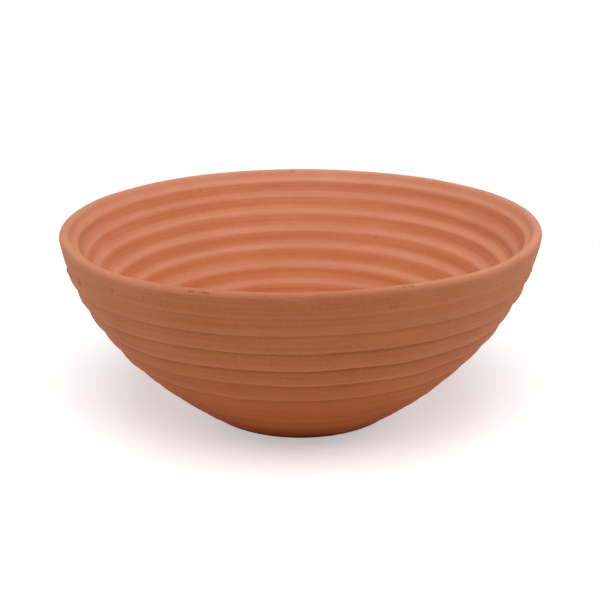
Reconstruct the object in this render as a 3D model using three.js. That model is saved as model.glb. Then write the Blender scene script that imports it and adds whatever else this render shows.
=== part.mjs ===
// Terracotta proofing bowl, thrown in one piece on a potter's wheel.
// Outside, a plain band under the rounded lip is followed by swelling rings with sharp creases between them.
// Inside, concentric flutes meet in crests that print rings on the dough.
// Units are millimetres. +Z is up, and the origin is the middle of the foot, on the surface it stands on.

import * as THREE from "three";

// Overall sizes
const RIM_DIAMETER = 220;
const HEIGHT = 91;
const FOOT_DIAMETER = 90;
const FOOT_EDGE = 1.5; // bevel between the wall and the underside

// Sweep of the outer wall, measured from the straight line between rim and foot
const BELLY_SWELL = 20.5; // how far the wall's guide point stands out from the middle of that line
const BELLY_RISE = 12.3; // how far the guide point lies above that middle, along the line

// Clay
const WALL_AT_RIM = 7;
const LIP_LEDGE = 3; // how far the lip's inner edge lies below the rim, along the wall
const WALL_AT_BASE = 13.5;
const WALL_TAPER = 48; // length of wall, from the rim down, over which it thickens
const FLOOR_THICKNESS = 14;
const FLOOR_BLEND = 14; // height above the floor at which the inner wall starts to curve into it

// Outside rings, measured along the wall from the rim down
const RIM_BAND = 11.2;
const RING_PITCH = 10.2;
const RING_COUNT = 5;
const RING_SWELL = 0.8; // how far the middle of a ring stands proud of the creases beside it

// Inside flutes, measured along the inside from the lip down
const LIP_FLUTE = 8; // width of the first flute, just under the lip
const FLUTE_PITCH = 9.9; // about: the flutes share out their length evenly
const FLUTE_DEPTH = 1.6;
const FLOOR_DISC_RADIUS = 18; // smooth middle of the floor, where the flutes end

// Fineness of the surface
const TURN_STEPS = 60;
const LIP_STEPS = 8;
const SCALLOP_STEPS = 3; // steps across one ring or flute
const LOWER_WALL_STEPS = 6;
const INNER_WALL_STATIONS = 24;

const CLAY = new THREE.MeshStandardMaterial({ color: 0xc97f5c, roughness: 0.9, metalness: 0 });

const rimRadius = RIM_DIAMETER / 2;
const footRadius = FOOT_DIAMETER / 2;
const lipRadius = WALL_AT_RIM / 2;

// Profiles are drawn in the half-plane x = distance from the axis, y = height.
// The outer wall runs from the rim down to the foot.
function outerWall() {
  const rim = new THREE.Vector2(rimRadius, HEIGHT - lipRadius);
  const foot = new THREE.Vector2(footRadius, FOOT_EDGE);
  const upward = rim.clone().sub(foot).normalize();
  const outward = new THREE.Vector2(upward.y, -upward.x);
  const guide = rim.clone().add(foot).multiplyScalar(0.5);
  guide.addScaledVector(outward, BELLY_SWELL).addScaledVector(upward, BELLY_RISE);
  return new THREE.QuadraticBezierCurve(rim, guide, foot);
}

// A point at a distance along a curve that runs down, moved square to the curve, away from the bowl's inside.
function pointBeside(curve, distance, offset) {
  const share = Math.min(distance / curve.getLength(), 1);
  const along = curve.getTangentAt(share);
  const away = new THREE.Vector2(-along.y, along.x);
  return curve.getPointAt(share).addScaledVector(away, offset);
}

function wallThickness(distance) {
  const taper = THREE.MathUtils.smoothstep(distance, 0, WALL_TAPER);
  return THREE.MathUtils.lerp(WALL_AT_RIM, WALL_AT_BASE, taper);
}

// The inside runs from just below the lip, a wall's thickness in from the outer wall, to the middle of the floor.
function insidePath(wall) {
  const wallLength = wall.getLength() - LIP_LEDGE;
  const stations = [];
  for (let i = 0; i <= INNER_WALL_STATIONS; i++) {
    const distance = LIP_LEDGE + (wallLength * i) / INNER_WALL_STATIONS;
    const station = pointBeside(wall, distance, -wallThickness(distance));
    if (station.y < FLOOR_THICKNESS + FLOOR_BLEND) break;
    stations.push(station);
  }
  const [before, last] = stations.slice(-2);
  const downward = last.clone().sub(before).normalize();
  const reach = (FLOOR_THICKNESS - last.y) / downward.y;
  const corner = last.clone().addScaledVector(downward, reach);
  const floorEdge = new THREE.Vector2(Math.max(corner.x - reach, 0), FLOOR_THICKNESS);
  const floorMiddle = new THREE.Vector2(0, FLOOR_THICKNESS);

  const path = new THREE.CurvePath();
  path.add(new THREE.SplineCurve(stations));
  path.add(new THREE.QuadraticBezierCurve(last, corner, floorEdge));
  path.add(new THREE.LineCurve(floorEdge, floorMiddle));
  return path;
}

// Equal bulges side by side along a curve, each a parabola that meets the next in a sharp edge.
function scallops(curve, start, pitch, count, height) {
  const points = [];
  for (let i = 0; i <= count * SCALLOP_STEPS; i++) {
    const across = (i % SCALLOP_STEPS) / SCALLOP_STEPS;
    const bulge = 4 * height * across * (1 - across);
    points.push(pointBeside(curve, start + (i * pitch) / SCALLOP_STEPS, bulge));
  }
  return points;
}

// Band, rings and plain lower wall, from the rim down to the foot.
function outsidePoints(wall) {
  const band = [pointBeside(wall, 0, 0), pointBeside(wall, RIM_BAND / 2, 0)];
  const rings = scallops(wall, RIM_BAND, RING_PITCH, RING_COUNT, RING_SWELL);
  const ringsEnd = RIM_BAND + RING_COUNT * RING_PITCH;
  const lowerWall = [];
  for (let i = 1; i <= LOWER_WALL_STEPS; i++) {
    const distance = THREE.MathUtils.lerp(ringsEnd, wall.getLength(), i / LOWER_WALL_STEPS);
    lowerWall.push(pointBeside(wall, distance, 0));
  }
  return [...band, ...rings, ...lowerWall];
}

// Half round, from the outer wall over the top to the inside.
function lipPoints() {
  const points = [];
  for (let i = 1; i <= LIP_STEPS; i++) {
    const angle = (Math.PI * i) / LIP_STEPS;
    const x = rimRadius - lipRadius + lipRadius * Math.cos(angle);
    const y = HEIGHT - lipRadius + lipRadius * Math.sin(angle);
    points.push(new THREE.Vector2(x, y));
  }
  return points;
}

// A narrow flute under the lip, then equal ones down the wall and across the floor to its smooth disc.
function insidePoints(wall) {
  const path = insidePath(wall);
  const room = path.getLength() - LIP_FLUTE - FLOOR_DISC_RADIUS;
  const count = Math.max(Math.round(room / FLUTE_PITCH), 1);
  const lipFlute = scallops(path, 0, LIP_FLUTE, 1, FLUTE_DEPTH);
  const flutes = scallops(path, LIP_FLUTE, room / count, count, FLUTE_DEPTH);
  return [...lipFlute.slice(0, -1), ...flutes, new THREE.Vector2(0, FLOOR_THICKNESS)];
}

// The closed profile, from the middle of the underside round to the middle of the floor.
function bowlProfile() {
  const wall = outerWall();
  const underside = [new THREE.Vector2(0, 0), new THREE.Vector2(footRadius - FOOT_EDGE, 0)];
  return [...underside, ...outsidePoints(wall).reverse(), ...lipPoints(), ...insidePoints(wall)];
}

function turnedBowl() {
  const geometry = new THREE.LatheGeometry(bowlProfile(), TURN_STEPS);
  const mesh = new THREE.Mesh(geometry, CLAY);
  mesh.name = "bowl";
  mesh.rotation.x = Math.PI / 2; // the profile is turned about Y, and the bowl stands on Z
  return mesh;
}

const proofingBowl = new THREE.Group();
proofingBowl.add(turnedBowl());

export default proofingBowl;
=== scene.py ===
"""Looks of the terracotta proofing bowl: hand-thrown, unglazed fired clay on a white studio floor.

The bowl is shaped in millimetres and stands in the scene in metres. +Z is up, and the camera is on the
-Y side. Azimuths are named in degrees, from +X at the right of the picture, so -90 is the front, and
functions take them in radians.
"""

import math
from collections import namedtuple

import bpy
import numpy as np
from mathutils import Color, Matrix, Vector


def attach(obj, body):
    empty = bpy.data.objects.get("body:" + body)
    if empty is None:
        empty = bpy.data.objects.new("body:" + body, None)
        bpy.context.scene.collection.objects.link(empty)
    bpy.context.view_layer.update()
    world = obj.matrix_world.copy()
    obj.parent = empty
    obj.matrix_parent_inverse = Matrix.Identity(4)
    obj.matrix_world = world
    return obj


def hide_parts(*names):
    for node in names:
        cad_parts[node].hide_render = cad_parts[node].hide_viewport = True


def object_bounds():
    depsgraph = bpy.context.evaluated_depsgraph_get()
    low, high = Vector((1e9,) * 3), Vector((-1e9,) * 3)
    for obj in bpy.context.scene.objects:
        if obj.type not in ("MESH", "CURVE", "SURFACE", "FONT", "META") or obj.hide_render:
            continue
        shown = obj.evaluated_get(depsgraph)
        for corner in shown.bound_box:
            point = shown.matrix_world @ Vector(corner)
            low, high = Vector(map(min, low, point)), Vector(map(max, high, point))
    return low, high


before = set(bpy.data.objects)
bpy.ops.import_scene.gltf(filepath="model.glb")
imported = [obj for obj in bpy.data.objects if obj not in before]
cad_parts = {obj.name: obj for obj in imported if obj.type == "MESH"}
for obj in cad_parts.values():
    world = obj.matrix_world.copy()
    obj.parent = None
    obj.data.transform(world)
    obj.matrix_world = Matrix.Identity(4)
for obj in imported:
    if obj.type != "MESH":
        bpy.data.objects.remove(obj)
cad_low, cad_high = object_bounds()

MM = 0.001
SEED = 7
FRONT = -90.0
FRONT_SPREAD = 50.0  # how far the front reaches to both sides

# Profile: a point is a distance from the axis and a height
RIM_TILT = 0.8  # the rim is this much higher at the right than in the middle, and lower at the left
WAVE_ROOM = 0.25  # room that the rim leaves for unevenness inside the overall size
RIM_RADIUS = cad_high.x / MM - WAVE_ROOM
RIM_HEIGHT = cad_high.z / MM - WAVE_ROOM - RIM_TILT
LIP_EDGE = 2.2  # how far the lip's outermost edge lies below its top
LIP_TOP = 108.1  # radius at which the lip is highest
LIP_SLOPE = ((103.6, 91.0), (106.0, 84.6), (102.9, 86.8))  # guides of its flat top and hollow inner side
INSIDE_TOP = (102.2, 86.6)
INSIDE_GUIDES = ((100.6, 69.2), (40.6, 13.5), (56.8, 14.0))
FLOOR_THICKNESS = 14.0
WALL_GUIDES = ((49.3, 4.0), (103.0, 39.1))
FOOT_RADIUS = 46.5  # where the wall ends and the foot's rounded edge begins
FOOT_EDGE = 2.6  # height of that edge
FOOT_FLAT = 42.0  # radius of the flat underside

# Places where the rim rises or dips
Rise = namedtuple("Rise", "azimuth spread height")
RIM_RISES = (
    Rise(-72.0, 18.0, 0.5),
    Rise(-135.0, 22.0, -1.2),
    Rise(-42.0, 12.0, -0.6),
    Rise(60.0, 40.0, -0.55),
)
RISE_DEPTH = 14.0  # how far below the rim these rises and dips die out

# Outside: creases between thrown rings, which lie aslant, from the foot up
FAINT_CREASES = (10.5, 17.5, 24.5)  # heights
# Mean height, how much higher it is at the front and at the right, and how deep a groove is cut into it
Crease = namedtuple("Crease", "height front right groove")
CREASES = (
    Crease(32.0, 2.0, 0.9, 0.12),
    Crease(41.4, 2.6, 1.1, 0.5),
    Crease(49.5, 3.1, 1.4, 0.4),
    Crease(57.7, 4.3, 1.0, 0.38),
    Crease(66.8, 4.1, 1.2, 0.08),
    Crease(76.2, 3.7, 1.6, 0.0),
)
GROOVE_WIDTH = 0.65
GROOVE_AZIMUTH = -78.0  # the grooves are deepest here and straight across the bowl
RING_SWELL = 1.0  # how far a ring stands out from the creases beside it
RING_SKEW = 0.8  # below 1, a ring is fullest below its middle
RING_SET = 0.75  # how far the creases are cut in from the wall's mean line
FAINT_SWELL = 0.22  # how far a faint ring of the lower wall stands out
SET_START = 4  # the higher, the closer to the lowest full crease the wall bends in to it
BAND_ROUND = 1.3  # height of the band's rounded lower edge
TOP_RING_FLAT = 0.9  # how much less the ring under the band swells at the front
LEDGE = 0.6  # how far that ring stands out from the band at the left
LEDGE_DROP = 1.3  # how much lower its upper edge lies there
LEDGE_AZIMUTH = -168.0
LEDGE_SPREAD = 12.0
RING_EDGE_HIGHLIGHT = 0.15  # painted highlight: how pale the lower edges of rings and band are painted at the front and the back
RING_HIGHLIGHT_WIDTH = 3.5
BAND_HIGHLIGHT_WIDTH = 1.6
BAND_TOP_HIGHLIGHT = 0.12  # painted highlight: how pale the band is painted just under the lip
BAND_TOP_WIDTH = 2.0
SIDE_SHARE = 0.35  # share of the grooves and of the painted edge highlights that is left at the sides
SIDE_FALL = 2.8  # the higher, the narrower the front and the back are
WALL_PAINTED_SHEEN = 0.35  # painted sheen: how much paler the wall is painted away from the front, just under the lip
WALL_SHEEN_FALL = 0.5  # the lower, the further down the wall this reaches

# Inside: flutes that meet in crests, from the lip down
FIRST_CREST = 2.2  # distance of the first crest from the inside's top
FLUTE_WIDTHS = (8.6, 8.8, 10.3, 9.7, 10.6, 10.3)
FLUTE_PITCH = 9.9  # width of the flutes below those
FLUTE_DEPTHS = (0.16, 0.7, 0.85)  # the flutes below are as deep as the third
CREST_SHARPNESS = 1.5  # 1 for a sharp crest, 2 for an even wave
CREST_LIFT = 0.4  # how much nearer to the lip the crests lie at the left, and further from it at the right
FLOOR_DISC = 18.0  # radius of the smooth middle of the floor
FLUTE_RUB = 0.55  # how pale the flutes are rubbed
RUB_PLACE = 0.82  # where a flute is palest, as a share of the way to the crest below
RUB_SPREAD = 0.25
DISC_RUB = 0.4  # how pale the floor's smooth middle is rubbed
INSIDE_PAINTED_SHADE = 0.5  # painted shade: how far the inside is painted in the outside's deeper colour at these azimuths
SHADE_AZIMUTHS = (34.0, 144.0)
SHADE_SPREAD = 34.0
LIP_RUB = 0.85  # how pale the lip is rubbed
LIP_RUB_FALL = 2.5  # how fast the rubbing fades over the lip's outer edge
LIP_PAINTED_SHADE = 0.6  # painted shade: how much less pale the lip is painted left of the front
LIP_SHADE_AZIMUTH = -110.0
LIP_SHADE_SPREAD = 75.0

# Hand-made unevenness
WANDER_WAVES = 5  # waves that a straying line is made of
WANDER_SIZE = 0.7  # about how high the longest of them is
EDGE_WANDER = 0.22  # how far creases and crests stray from true circles
HEIGHT_WANDER = 0.18  # share by which rings and flutes vary in height round the bowl
# Swells of the surface: their height, and the range of their wavelengths
Swell = namedtuple("Swell", "height shortest longest")
SWELLS = (Swell(0.12, 12.0, 60.0), Swell(0.04, 4.0, 9.0))
WAVES_PER_SWELL = 14
RIM_CALM = 0.7  # how much weaker these swells are at the rim
BELLY_SHIFT = 0.2  # how far the outside stands over to the left, half-way up
INSIDE_SHIFT = 0.35  # how far the inside stands over to the right

# Small marks: where they are, their widths round the bowl and up the wall, how deep they are and how dark
# they are painted as painted shade
Mark = namedtuple("Mark", "azimuth radius height across tall depth dark")
MARKS = [
    Mark(-151.6, 109.0, 76.8, 1.6, 1.8, 0.6, 0.5),  # hollow under the band
    Mark(-134.8, 109.5, 82.0, 0.6, 0.5, 0.4, 0.45),  # pits in the wall, outside and inside
    Mark(-105.5, 103.0, 58.8, 0.5, 0.5, 0.2, 0.2),
    Mark(-104.7, 102.5, 57.8, 0.6, 0.4, 0.2, 0.25),
    Mark(62.9, 85.7, 59.5, 0.6, 0.6, 0.3, 0.35),
    Mark(121.5, 101.5, 82.8, 0.5, 0.5, 0.25, 0.45),
    Mark(92.6, 106.0, 89.0, 0.6, 0.8, 0.3, 0.4),  # nicks in the lip, at the back and the front
    Mark(-97.3, 109.0, 89.2, 1.2, 0.4, 0.35, 0.45),
    Mark(-91.2, 109.4, 89.0, 4.0, 2.2, 0.4, 0.15),  # dent under the lip
    Mark(-90.0, 108.0, 90.3, 75.0, 3.5, 0.0, 0.18),  # front of the lip, darkened by painted shade
]
LEFT_CHIPS = (-113.2, -112.4, -110.3, -109.7, -109.2)
RIGHT_CHIPS = (-68.6, -68.0, -67.2, -66.7, -66.2)
LEFT_SCRATCHES = np.linspace(-125.0, -120.5, 7)
RIGHT_SCRATCHES = (-71.1, -70.3, -69.6)
MARKS += [Mark(azimuth, 109.0, 89.2, 0.5, 0.4, 0.35, 0.9) for azimuth in LEFT_CHIPS]
MARKS += [Mark(azimuth, 108.7, 90.0, 0.5, 0.4, 0.35, 0.9) for azimuth in RIGHT_CHIPS]
MARKS += [Mark(azimuth, 109.5, 83.2, 0.35, 2.2, 0.12, 0.2) for azimuth in LEFT_SCRATCHES]
MARKS += [Mark(azimuth, 109.5, 82.4, 0.3, 0.9, 0.15, 0.3) for azimuth in RIGHT_SCRATCHES]

# Fineness of the surface round the bowl
TURN_STEPS = 240
MARK_STEPS = 5  # extra steps across a mark
MARK_REACH = 2.2  # how far those go to each side, in widths of the mark
CLOSEST_STEP = 0.0004  # radians

# Rows of points along the profile, in each of its forms
FAINT_ROWS = 6
RING_ROWS = 12
LIP_ROWS = 8  # round its outer edge
SLOPE_ROWS = 14  # down its inner side
FLUTE_ROWS = 10
DISC_ROWS = 4  # underside, its rounded edge, and the smooth middle of the floor
CENTRE_GAP = 1.5  # radius of the fan of triangles that closes floor and underside
CURVE_POINTS = 1500  # points by which a distance along a curve is measured

# Camera, fitted to the rim, the outline and the foot in the photograph, in millimetres and degrees
CAMERA_TARGET = (-0.2, 0.0, 51.4)
CAMERA_DISTANCE = 616.0
CAMERA_ELEVATION = 18.5
CAMERA_LENS = 78.6

# Studio, in metres and watts
Softbox = namedtuple("Softbox", "name place size power")
SOFTBOXES = (
    Softbox("softbox_top", (0.0, -0.42, 1.03), 1.0, 12.0),
    Softbox("softbox_left", (-1.0, 0.1, 0.5), 0.7, 3.2),
    Softbox("softbox_right", (1.0, 0.1, 0.5), 0.7, 4.0),
)
LAMP_AIM = (0.0, 0.0, 0.05)
WHITE = (1.0, 1.0, 1.0, 1.0)
FILL_LIGHT = 0.05
PAPER = (0.88, 0.88, 0.88, 1.0)
PAPER_LIFT = 0.45  # light that the paper adds where it is seen directly
PAPER_FADE = (0.14, 0.36)  # distances from the axis between which the paper passes into plain white
FLOOR_HALF = 4.0

rng = np.random.default_rng(SEED)


def linear(red, green, blue):
    """A shader's colour from one as seen on a screen, 0 to 255."""
    shown = Color((red / 255, green / 255, blue / 255))
    return (*shown.from_srgb_to_scene_linear(), 1.0)


# Clay
CLAY_OUTSIDE = linear(188, 112, 66)
CLAY_FOOT = linear(181, 87, 12)
CLAY_INSIDE = linear(211, 134, 97)
CLAY_FLOOR = linear(197, 118, 78)
# pale clay of rubbing and grain, also the colour of the painted highlights and painted sheen
CLAY_PALE = linear(222, 160, 134)
# colour of the painted shade in the small marks
PIT_PAINTED_SHADE = linear(70, 38, 24)
CLAY_DEEPENED = (0.85, 0.72, 0.65, 1.0)  # share of each colour left where the clay is deepest
FOOT_TONE = (0.004, 0.055)  # heights in metres between which the foot's colour passes into the wall's
FLOOR_TONE = (0.03, 0.08)  # and the floor's into the inside's
SHEEN = 0.03
GLOSS = 0.2

# Patterns in the clay, per metre
STREAK_AROUND = 12.0
STREAK_ACROSS = 520.0
CLOUD_SCALE = 28.0
GRAIN_SCALE = 1300.0
NOISE_DETAIL = 3.0
# Each takes a range of a pattern's values to a range of strength
CLOUDS = (0.3, 0.7, 0.0, 0.3)
STREAKS = (0.35, 0.7, 0.0, 0.7)
DEEP_GRAINS = (0.5, 0.1, 0.0, 0.5)
PALE_GRAINS = (0.5, 0.9, 0.0, 0.2)
PALE_PATCHES = (0.25, 0.75, 0.9, 0.5)
ROUGHNESS = (0.3, 0.7, 0.82, 0.96)
STREAK_RELIEF = 0.042  # millimetres
GRAIN_RELIEF = 0.018


class Curve:
    """A line of the profile, on which points are found by their distance along it."""

    def __init__(self, guides):
        """Draws the curve that the guide points pull from the first to the last of them."""
        share = np.linspace(0, 1, CURVE_POINTS)
        last = len(guides) - 1
        pulls = [math.comb(last, i) * (1 - share) ** (last - i) * share**i for i in range(last + 1)]
        self.points = sum(np.outer(pull, guide) for pull, guide in zip(pulls, guides))
        steps = np.diff(self.points, axis=0)
        self.along = np.concatenate([[0.0], np.cumsum(np.hypot(steps[:, 0], steps[:, 1]))])
        self.length = self.along[-1]
        tangents = np.gradient(self.points, self.along, axis=0)
        self.normals = np.column_stack([tangents[:, 1], -tangents[:, 0]])

    def at(self, distance, offset=0.0):
        """Radius, height, and the normal's two parts, of points moved out of the clay by offset."""
        radius, height = (np.interp(distance, self.along, self.points[:, k]) for k in (0, 1))
        out, up = (np.interp(distance, self.along, self.normals[:, k]) for k in (0, 1))
        return np.stack([radius + offset * out, height + offset * up, out, up])


def bell(distance, width):
    """A smooth share that is 1 at no distance and falls away over the width."""
    return np.exp(-((distance / width) ** 2))


def near(azimuth, middle, spread):
    """A smooth share that is 1 at an azimuth in degrees and falls away to both sides of it."""
    apart = (np.degrees(azimuth) - middle + 180) % 360 - 180
    return bell(apart, spread)


def front_and_back(azimuth, middle):
    """A share that is 1 at an azimuth in degrees and straight across the bowl, and small at the sides."""
    facing = np.abs(np.cos(azimuth - math.radians(middle)))
    return SIDE_SHARE + (1 - SIDE_SHARE) * facing**SIDE_FALL


def wander(count, azimuth):
    """Smooth random lines round the bowl, one row each, of about unit height."""
    lines = np.zeros((count, len(azimuth)))
    for waves_round in range(1, WANDER_WAVES + 1):
        phase = rng.uniform(0, 2 * math.pi, (count, 1))
        size = rng.normal(0, WANDER_SIZE, (count, 1)) / math.sqrt(waves_round)
        lines += size * np.cos(waves_round * azimuth + phase)
    return lines


def between_edges(rows):
    """Shares of the way from one edge to the next, in a column, closer together near both."""
    return 0.5 - 0.5 * np.cos(math.pi * (np.arange(rows) + 0.5) / rows)[:, None]


def all_round(section, azimuth):
    """The same section at every azimuth."""
    return np.repeat(section[..., None], len(azimuth), axis=-1)


def underside(azimuth):
    """The flat foot from its middle outward, and the rounded edge up to the wall."""
    flat = np.linspace(CENTRE_GAP, FOOT_FLAT, DISC_ROWS, endpoint=False)
    level = np.zeros(DISC_ROWS)
    disc = np.stack([flat, level, level, level - 1])
    edge = Curve([(FOOT_FLAT, 0), (FOOT_RADIUS - FOOT_EDGE, 0), (FOOT_RADIUS, FOOT_EDGE)])
    bevel = edge.at(edge.length * np.arange(DISC_ROWS) / DISC_ROWS)
    part = all_round(np.concatenate([disc, bevel], axis=1), azimuth)
    return part, np.zeros(part.shape[1:])


def wall_painted_sheen(azimuth):
    """How pale the painted sheen makes the wall just under the lip, apart from the painted edge highlights.
    """
    return WALL_PAINTED_SHEEN * (1 - near(azimuth, FRONT, FRONT_SPREAD))


def ring_edges(wall, azimuth):
    """Distances along the wall of the foot, every crease and the lip, for each azimuth."""
    slants = [np.sin(-azimuth) * crease.front + np.cos(azimuth) * crease.right for crease in CREASES]
    lowest = CREASES[0].height
    heights = [height + slants[0] * height / lowest for height in FAINT_CREASES]
    heights += [crease.height + slant for crease, slant in zip(CREASES, slants)]
    heights = np.array(heights) + EDGE_WANDER * wander(len(heights), azimuth)
    heights[-1] -= LEDGE_DROP * near(azimuth, LEDGE_AZIMUTH, LEDGE_SPREAD)
    creases = np.interp(heights, wall.points[:, 1], wall.along)
    foot = np.zeros(len(azimuth))
    return np.vstack([foot, creases, foot + wall.length])


def outside(azimuth):
    """The wall from the foot up: faint rings, full rings and the plain band, and how pale each point is
    painted, with painted highlights along the edges and painted sheen under the lip.
    """
    wall = Curve([(FOOT_RADIUS, FOOT_EDGE), *WALL_GUIDES, (RIM_RADIUS, RIM_HEIGHT - LIP_EDGE)])
    edges = ring_edges(wall, azimuth)
    faint, full = len(FAINT_CREASES) + 1, len(CREASES) - 1
    swells = [FAINT_SWELL] * faint + [RING_SWELL] * full + [0.0]
    insets = [FAINT_SWELL] * faint + [RING_SET] * full + [0.0]
    edge_highlights = [0.0] * faint + [RING_EDGE_HIGHLIGHT] * (full + 1)
    highlight_widths = [RING_HIGHLIGHT_WIDTH] * (faint + full) + [BAND_HIGHLIGHT_WIDTH]
    top_highlights = [0.0] * (faint + full) + [BAND_TOP_HIGHLIGHT]
    cuts = [0.0] * faint + [crease.groove for crease in CREASES] + [0.0]

    grooves = np.outer(cuts, front_and_back(azimuth, GROOVE_AZIMUTH))
    at_front = near(azimuth, FRONT, FRONT_SPREAD)
    highlight_share = front_and_back(azimuth, FRONT)
    ledge = LEDGE * near(azimuth, LEDGE_AZIMUTH, LEDGE_SPREAD)
    painted_sheen_under_lip = wall_painted_sheen(azimuth)
    parts, pale = [], []
    for k in range(len(swells)):
        share = between_edges(FAINT_ROWS if k < faint - 1 else RING_ROWS)
        arch = np.sin(math.pi * share**RING_SKEW)
        uneven = 1 + HEIGHT_WANDER * wander(1, azimuth)
        width = edges[k + 1] - edges[k]
        from_lower, from_upper = share * width, (1 - share) * width
        offset = swells[k] * uneven * arch - insets[k]
        offset -= grooves[k] * bell(from_lower, GROOVE_WIDTH)
        offset -= grooves[k + 1] * bell(from_upper, GROOVE_WIDTH)
        if k == faint - 1:
            offset -= RING_SET * share**SET_START
        if k == faint + full - 1:
            offset += RING_SET * bell(from_upper, BAND_ROUND)
            offset += (ledge - TOP_RING_FLAT * at_front * arch) * share
        part = wall.at(edges[k] + from_lower, offset)
        # painted highlight along the lower edges of the rings and the band, and just under the lip
        pale_share = edge_highlights[k] * uneven * highlight_share * bell(from_lower, highlight_widths[k])
        pale_share += top_highlights[k] * bell(from_upper, BAND_TOP_WIDTH)
        parts.append(part)
        # painted sheen, paler under the lip away from the front, fading down the wall
        pale.append(pale_share + painted_sheen_under_lip * (part[1] / RIM_HEIGHT) ** WALL_SHEEN_FALL)
    return np.concatenate(parts, axis=1), np.concatenate(pale)


def inside_path():
    """The line of the crests, from the lip to the middle of the floor."""
    return Curve([INSIDE_TOP, *INSIDE_GUIDES, (0.0, FLOOR_THICKNESS)])


def lip(azimuth):
    """Round the outer edge to the top, then down past a slight hollow to the first crest."""
    turn = math.pi / 2 * np.arange(LIP_ROWS) / LIP_ROWS
    out, up = np.cos(turn), np.sin(turn)
    edge = np.stack([LIP_TOP + (RIM_RADIUS - LIP_TOP) * out, RIM_HEIGHT - LIP_EDGE * (1 - up), out, up])
    crest = inside_path().at(FIRST_CREST)[:2]
    slope = Curve([(LIP_TOP, RIM_HEIGHT), *LIP_SLOPE, crest])
    down = np.arange(SLOPE_ROWS) / SLOPE_ROWS
    part = np.concatenate([edge, slope.at(slope.length * down)], axis=1)
    # painted shade keeps the lip less pale left of the front
    rub_share_less_shade = 1 - LIP_PAINTED_SHADE * near(azimuth, LIP_SHADE_AZIMUTH, LIP_SHADE_SPREAD)
    # the band under the lip brings its painted highlight and painted sheen into the lip's edge
    band = BAND_TOP_HIGHLIGHT + wall_painted_sheen(azimuth)
    edge_pale = band + np.outer(up**LIP_RUB_FALL, LIP_RUB * rub_share_less_shade - band)
    slope_pale = np.outer(LIP_RUB + (FLUTE_RUB - LIP_RUB) * down, rub_share_less_shade)
    return all_round(part, azimuth), np.concatenate([edge_pale, slope_pale])


def inside(azimuth):
    """Flutes from the first crest down the wall and across the floor, then the smooth disc."""
    path = inside_path()
    seen = FIRST_CREST + np.cumsum([0.0, *FLUTE_WIDTHS])
    flutes_end = path.length - FLOOR_DISC
    others = round((flutes_end - seen[-1]) / FLUTE_PITCH)
    rest = np.linspace(seen[-1], flutes_end, others + 1)[1:]
    crests = np.concatenate([seen, rest])
    stray = EDGE_WANDER * wander(len(crests), azimuth) + CREST_LIFT * np.cos(azimuth)
    stray[[0, -1]] = 0
    crests = crests[:, None] + stray

    share = between_edges(FLUTE_ROWS)
    hollow = np.sin(math.pi * share) ** CREST_SHARPNESS
    pale_share = FLUTE_RUB * (bell(share - RUB_PLACE, RUB_SPREAD) + bell(share - RUB_PLACE + 1, RUB_SPREAD))
    parts, pale = [], []
    for k, (upper, lower) in enumerate(zip(crests[:-1], crests[1:])):
        depth = FLUTE_DEPTHS[min(k, len(FLUTE_DEPTHS) - 1)] * (1 + HEIGHT_WANDER * wander(1, azimuth))
        parts.append(path.at(upper + share * (lower - upper), -depth * hollow))
        pale.append(all_round(pale_share[:, 0], azimuth))
    disc = path.at(np.linspace(flutes_end, path.length - CENTRE_GAP, DISC_ROWS + 1)[1:])
    parts.append(all_round(disc, azimuth))
    pale.append(np.full((DISC_ROWS, len(azimuth)), DISC_RUB))
    return np.concatenate(parts, axis=1), np.concatenate(pale)


def waves(points):
    """Gentle random swells in space, which leave no seam."""
    total = np.zeros(points.shape[:-1])
    for swell in SWELLS:
        for _ in range(WAVES_PER_SWELL):
            direction = rng.normal(size=3)
            direction /= np.linalg.norm(direction)
            turns = points @ direction / rng.uniform(swell.shortest, swell.longest) + rng.uniform()
            total += swell.height * math.sqrt(2 / WAVES_PER_SWELL) * np.sin(2 * math.pi * turns)
    return total


def turn_steps():
    """Azimuths of the bowl's points: even steps, with finer ones across the small marks."""
    steps = [np.arange(TURN_STEPS) * 2 * math.pi / TURN_STEPS]
    for mark in MARKS:
        reach = MARK_REACH * mark.across / mark.radius
        steps.append(math.radians(mark.azimuth) + np.linspace(-reach, reach, MARK_STEPS))
    steps = np.sort(np.concatenate(steps) % (2 * math.pi))
    return steps[np.diff(steps, prepend=-1.0) > CLOSEST_STEP]


def press_marks(radius, height, azimuth):
    """How far the small marks push each point into the clay, and how dark their painted shade makes it."""
    depth, dark = np.zeros(radius.shape), np.zeros(radius.shape)
    for mark in MARKS:
        aside = azimuth - math.radians(mark.azimuth)
        column = np.argmax(np.cos(aside))
        row = np.argmin(np.hypot(radius[:, column] - mark.radius, height[:, column] - mark.height))
        up_wall = np.hypot(radius - radius[row, column], height - height[row, column])
        facing = np.cos(aside) > 0
        share = bell(radius * np.sin(aside), mark.across) * bell(up_wall, mark.tall) * facing
        depth += mark.depth * share
        dark = np.maximum(dark, mark.dark * share)
    return depth, dark


def in_space(azimuth, radius, height, aside=0.0):
    """Points at their azimuths, moved aside to the right."""
    return np.stack([radius * np.cos(azimuth) + aside, radius * np.sin(azimuth), height], axis=-1)


def close_to_rim(height):
    """A share that is 1 at the rim and falls to 0 where its rises and dips die out."""
    return np.clip(1 - (RIM_HEIGHT - height) / RISE_DEPTH, 0, 1)


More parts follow.
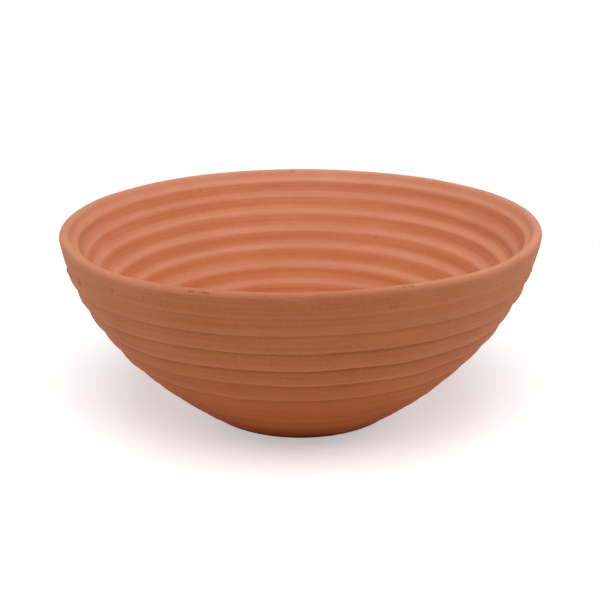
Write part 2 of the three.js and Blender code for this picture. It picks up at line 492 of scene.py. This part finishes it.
def made_by_hand(azimuth, section, depth, past_lip):
    """Points of the turned section with swells, marks and an uneven rim, and its two sides off centre."""
    radius, height, out, up = section
    above_foot = np.clip(height / FOOT_EDGE - 1, 0, 1)
    calm = 1 - RIM_CALM * close_to_rim(height)
    swell = waves(in_space(azimuth, radius, height)) * above_foot * calm - depth
    radius = np.minimum(radius + swell * out, RIM_RADIUS + WAVE_ROOM)
    height = np.minimum(height + swell * up, RIM_HEIGHT + WAVE_ROOM)

    rise = sum(place.height * near(azimuth, place.azimuth, place.spread) for place in RIM_RISES)
    height = height + RIM_TILT * np.cos(azimuth) * height / RIM_HEIGHT + rise * close_to_rim(height)
    belly = np.sin(math.pi * np.clip(height / (RIM_HEIGHT - LIP_EDGE), 0, 1))
    aside = INSIDE_SHIFT * past_lip - BELLY_SHIFT * belly * (1 - past_lip)
    return in_space(azimuth, radius, height, aside)


def bowl_surface():
    """Points of the bowl in rows from the foot's middle to the floor's, and what its material reads."""
    azimuth = turn_steps()
    sections = [underside(azimuth), outside(azimuth), lip(azimuth), inside(azimuth)]
    section = np.concatenate([part for part, _ in sections], axis=1)
    radius, height = section[:2]
    rows_below_lip = sum(len(pale_share) for _, pale_share in sections[:2])
    from_lip = np.arange(len(radius)) - rows_below_lip
    past_lip = np.clip((from_lip - LIP_ROWS) / SLOPE_ROWS, 0, 1)
    steps = [np.diff(line[:, 0], prepend=line[0, 0]) for line in (radius, height)]

    depth, dark = press_marks(radius, height, azimuth)
    # painted shade on the inside's side walls, taking them towards the outside's colour
    painted_shade = INSIDE_PAINTED_SHADE * sum(near(azimuth, middle, SHADE_SPREAD) for middle in SHADE_AZIMUTHS)
    values = {
        "pale": np.concatenate([pale_share for _, pale_share in sections]),
        "dark": dark,
        "within_less_painted_shade": np.outer(np.clip(from_lip / (LIP_ROWS + SLOPE_ROWS), 0, 1), 1 - painted_shade),
        "track": all_round(np.cumsum(np.hypot(*steps)) * MM, azimuth),
    }
    return made_by_hand(azimuth, section, depth, past_lip[:, None]), values


def bowl_mesh(points, values):
    """One closed mesh from rows of points, with a fan at each end, and the values at every point."""
    rows, turns = points.shape[:2]
    corner = np.arange(rows * turns).reshape(rows, turns)
    following = np.roll(corner, -1, axis=1)
    quads = np.stack([corner[:-1], following[:-1], following[1:], corner[1:]], axis=-1).reshape(-1, 4)
    foot_middle, floor_middle = rows * turns, rows * turns + 1
    fans = [(foot_middle, following[0, j], corner[0, j]) for j in range(turns)]
    fans += [(floor_middle, corner[-1, j], following[-1, j]) for j in range(turns)]
    middles = [points[0].mean(axis=0), points[-1].mean(axis=0)]
    vertices = np.vstack([points.reshape(-1, 3), middles]) * MM

    mesh = bpy.data.meshes.new("bowl_clay")
    mesh.from_pydata(vertices.tolist(), [], quads.tolist() + fans)
    mesh.shade_smooth()
    for name, grid in values.items():
        attribute = mesh.attributes.new(name, "FLOAT", "POINT")
        ends = [grid[0, 0], grid[-1, 0]]
        attribute.data.foreach_set("value", np.append(grid.ravel(), ends).astype(np.float32))
    return mesh


class Graph:
    """Short ways to add nodes to a material's or world's tree and to join them."""

    def __init__(self, owner):
        owner.use_nodes = True
        self.tree = owner.node_tree

    def put(self, value, socket):
        """Links an output to the socket, or sets it to a plain value."""
        if isinstance(value, bpy.types.NodeSocket):
            self.tree.links.new(value, socket)
        else:
            socket.default_value = value

    def fill(self, node, inputs):
        """Puts values and outputs into a node's inputs, by name or number."""
        for name, value in inputs.items():
            self.put(value, node.inputs[name])
        return node

    def add(self, kind, inputs=None, **settings):
        """A new node with its settings and inputs."""
        node = self.tree.nodes.new("ShaderNode" + kind)
        for name, value in settings.items():
            setattr(node, name, value)
        return self.fill(node, inputs or {})

    def math(self, operation, *values):
        """What an operation makes of numbers."""
        return self.add("Math", dict(enumerate(values)), operation=operation).outputs[0]

    def vector_math(self, operation, *vectors):
        """What an operation makes of vectors: a vector first, and a number named Value."""
        return self.add("VectorMath", dict(enumerate(vectors)), operation=operation).outputs

    def place(self):
        """The place of a point on its object."""
        return self.add("TexCoord").outputs["Object"]

    def attribute(self, name):
        """A value that the mesh holds at every point."""
        return self.add("Attribute", attribute_name=name).outputs["Fac"]

    def noise(self, place, scale=1.0):
        """A cloudy pattern of values around a half."""
        return self.add("TexNoise", {"Vector": place, "Scale": scale, "Detail": NOISE_DETAIL}).outputs["Fac"]

    def spread(self, value, low, high, new_low=0.0, new_high=1.0, way="LINEAR"):
        """The value's range from low to high, widened or narrowed to a new one and held there."""
        sockets = {"Value": value, "From Min": low, "From Max": high, "To Min": new_low, "To Max": new_high}
        return self.add("MapRange", sockets, interpolation_type=way).outputs["Result"]

    def blend(self, share, first, second, way="MIX"):
        """A colour between two, or the first as the second changes it."""
        node = self.add("Mix", data_type="RGBA", blend_type=way)
        # The node has sockets of every type, and 6, 7 and the output 2 are those for colours
        return self.fill(node, {0: share, 6: first, 7: second}).outputs[2]

    def seen_directly(self):
        """An output that is 1 where the camera sees a surface, also in a mirror or through glass."""
        path = self.add("LightPath").outputs
        mirrored = self.math("MAXIMUM", path["Is Glossy Ray"], path["Is Transmission Ray"])
        return self.math("MAXIMUM", path["Is Camera Ray"], mirrored)

    def show(self, share, first, second, output):
        """Shows the first shader or the second, by the share, at the tree's output."""
        pick = self.add("MixShader", {0: share, 1: first.outputs[0], 2: second.outputs[0]})
        self.put(pick.outputs[0], self.tree.nodes[output].inputs["Surface"])


def terracotta():
    """Unglazed fired clay: deeper outside, pale with rubbing on lip and crests, with painted highlights,
    painted sheen and painted shade, turning lines and grain.
    """
    material = bpy.data.materials.new("terracotta")
    graph = Graph(material)
    place = graph.place()
    around = graph.vector_math("MULTIPLY", place, (STREAK_AROUND, STREAK_AROUND, 0))[0]
    across = graph.math("MULTIPLY", graph.attribute("track"), STREAK_ACROSS)
    down = graph.add("CombineXYZ", {"Z": across}).outputs[0]
    streak = graph.noise(graph.vector_math("ADD", around, down)[0])
    cloud = graph.noise(place, CLOUD_SCALE)
    grain = graph.noise(place, GRAIN_SCALE)

    height = graph.add("SeparateXYZ", {0: place}).outputs["Z"]
    outer = graph.blend(graph.spread(height, *FOOT_TONE), CLAY_FOOT, CLAY_OUTSIDE)
    inner = graph.blend(graph.spread(height, *FLOOR_TONE), CLAY_FLOOR, CLAY_INSIDE)
    # the inside takes the outside's colour where it is painted shaded
    clay = graph.blend(graph.attribute("within_less_painted_shade"), outer, inner)
    clay = graph.blend(graph.spread(cloud, *CLOUDS), clay, CLAY_DEEPENED, "MULTIPLY")
    clay = graph.blend(graph.spread(streak, *STREAKS), clay, CLAY_DEEPENED, "MULTIPLY")
    # pale where rubbed and where painted highlights and painted sheen lie, less so under painted shade, in
    # patches
    pale_share = graph.math("MULTIPLY", graph.attribute("pale"), graph.spread(cloud, *PALE_PATCHES))
    clay = graph.blend(pale_share, clay, CLAY_PALE)
    clay = graph.blend(graph.spread(grain, *PALE_GRAINS), clay, CLAY_PALE)
    clay = graph.blend(graph.spread(grain, *DEEP_GRAINS), clay, CLAY_DEEPENED, "MULTIPLY")
    # painted shade in the small marks
    clay = graph.blend(graph.attribute("dark"), clay, PIT_PAINTED_SHADE)

    streak_relief = graph.math("MULTIPLY", streak, STREAK_RELIEF)
    grain_relief = graph.math("MULTIPLY", grain, GRAIN_RELIEF)
    relief = graph.math("ADD", streak_relief, grain_relief)
    bump = graph.add("Bump", {"Height": relief, "Strength": 1.0, "Distance": MM})
    shader = {
        "Base Color": clay,
        "Roughness": graph.spread(grain, *ROUGHNESS),
        "Specular IOR Level": GLOSS,
        "Sheen Weight": SHEEN,
        "Normal": bump.outputs["Normal"],
    }
    graph.fill(graph.tree.nodes["Principled BSDF"], shader)
    return material


def white_paper():
    """Matt white that shows the bowl's shadow nearby and turns plain white further off."""
    material = bpy.data.materials.new("white_paper")
    graph = Graph(material)
    direct = graph.seen_directly()
    shader = {
        "Base Color": PAPER,
        "Roughness": 1.0,
        "Specular IOR Level": 0.0,
        "Emission Color": WHITE,
        "Emission Strength": graph.math("MULTIPLY", direct, PAPER_LIFT),
    }
    paper = graph.fill(graph.tree.nodes["Principled BSDF"], shader)
    plain = graph.add("Emission", {"Color": WHITE})
    distance = graph.vector_math("LENGTH", graph.place())["Value"]
    far = graph.spread(distance, *PAPER_FADE, way="SMOOTHSTEP")
    graph.show(graph.math("MULTIPLY", direct, far), paper, plain, "Material Output")
    return material


def make_bowl():
    """The bowl's one piece, which stands in for the plain solid."""
    points, values = bowl_surface()
    bowl = bpy.data.objects.new("clay_bowl", bowl_mesh(points, values))
    bpy.context.scene.collection.objects.link(bowl)
    bowl.data.materials.append(terracotta())
    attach(bowl, "root")
    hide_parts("bowl")


def make_floor():
    """A wide square of paper under the bowl."""
    signs = ((-1, -1), (1, -1), (1, 1), (-1, 1))
    corners = [(x * FLOOR_HALF, y * FLOOR_HALF, 0) for x, y in signs]
    mesh = bpy.data.meshes.new("floor")
    mesh.from_pydata(corners, [], [(0, 1, 2, 3)])
    mesh.materials.append(white_paper())
    floor = bpy.data.objects.new("floor", mesh)
    bpy.context.scene.collection.objects.link(floor)


def make_world():
    """Weak fill light, with plain white behind everything."""
    world = bpy.data.worlds.new("studio")
    bpy.context.scene.world = world
    graph = Graph(world)
    fill = graph.fill(graph.tree.nodes["Background"], {"Color": WHITE, "Strength": FILL_LIGHT})
    plain = graph.add("Background", {"Color": WHITE})
    graph.show(graph.seen_directly(), fill, plain, "World Output")


def aim(holder, place, target):
    """Puts a lamp or camera at its place, turned to the target."""
    holder.location = place
    holder.rotation_euler = (Vector(target) - Vector(place)).to_track_quat("-Z", "Y").to_euler()
    bpy.context.scene.collection.objects.link(holder)


def make_lights():
    """Softboxes over the front and at both sides."""
    for softbox in SOFTBOXES:
        lamp = bpy.data.lights.new(softbox.name, "AREA")
        lamp.size = softbox.size
        lamp.energy = softbox.power
        aim(bpy.data.objects.new(softbox.name, lamp), softbox.place, LAMP_AIM)


def make_camera():
    """The camera in front of the bowl, looking down at it as in the photograph."""
    camera = bpy.data.objects.new("camera", bpy.data.cameras.new("camera"))
    camera.data.lens = CAMERA_LENS
    rise = math.radians(CAMERA_ELEVATION)
    back = Vector((0, -math.cos(rise), math.sin(rise)))
    target = Vector(CAMERA_TARGET) * MM
    aim(camera, target + back * CAMERA_DISTANCE * MM, target)
    bpy.context.scene.camera = camera


make_bowl()
make_floor()
make_world()
make_lights()
make_camera()
bpy.context.scene.view_settings.view_transform = "Standard"

bpy.context.view_layer.update()
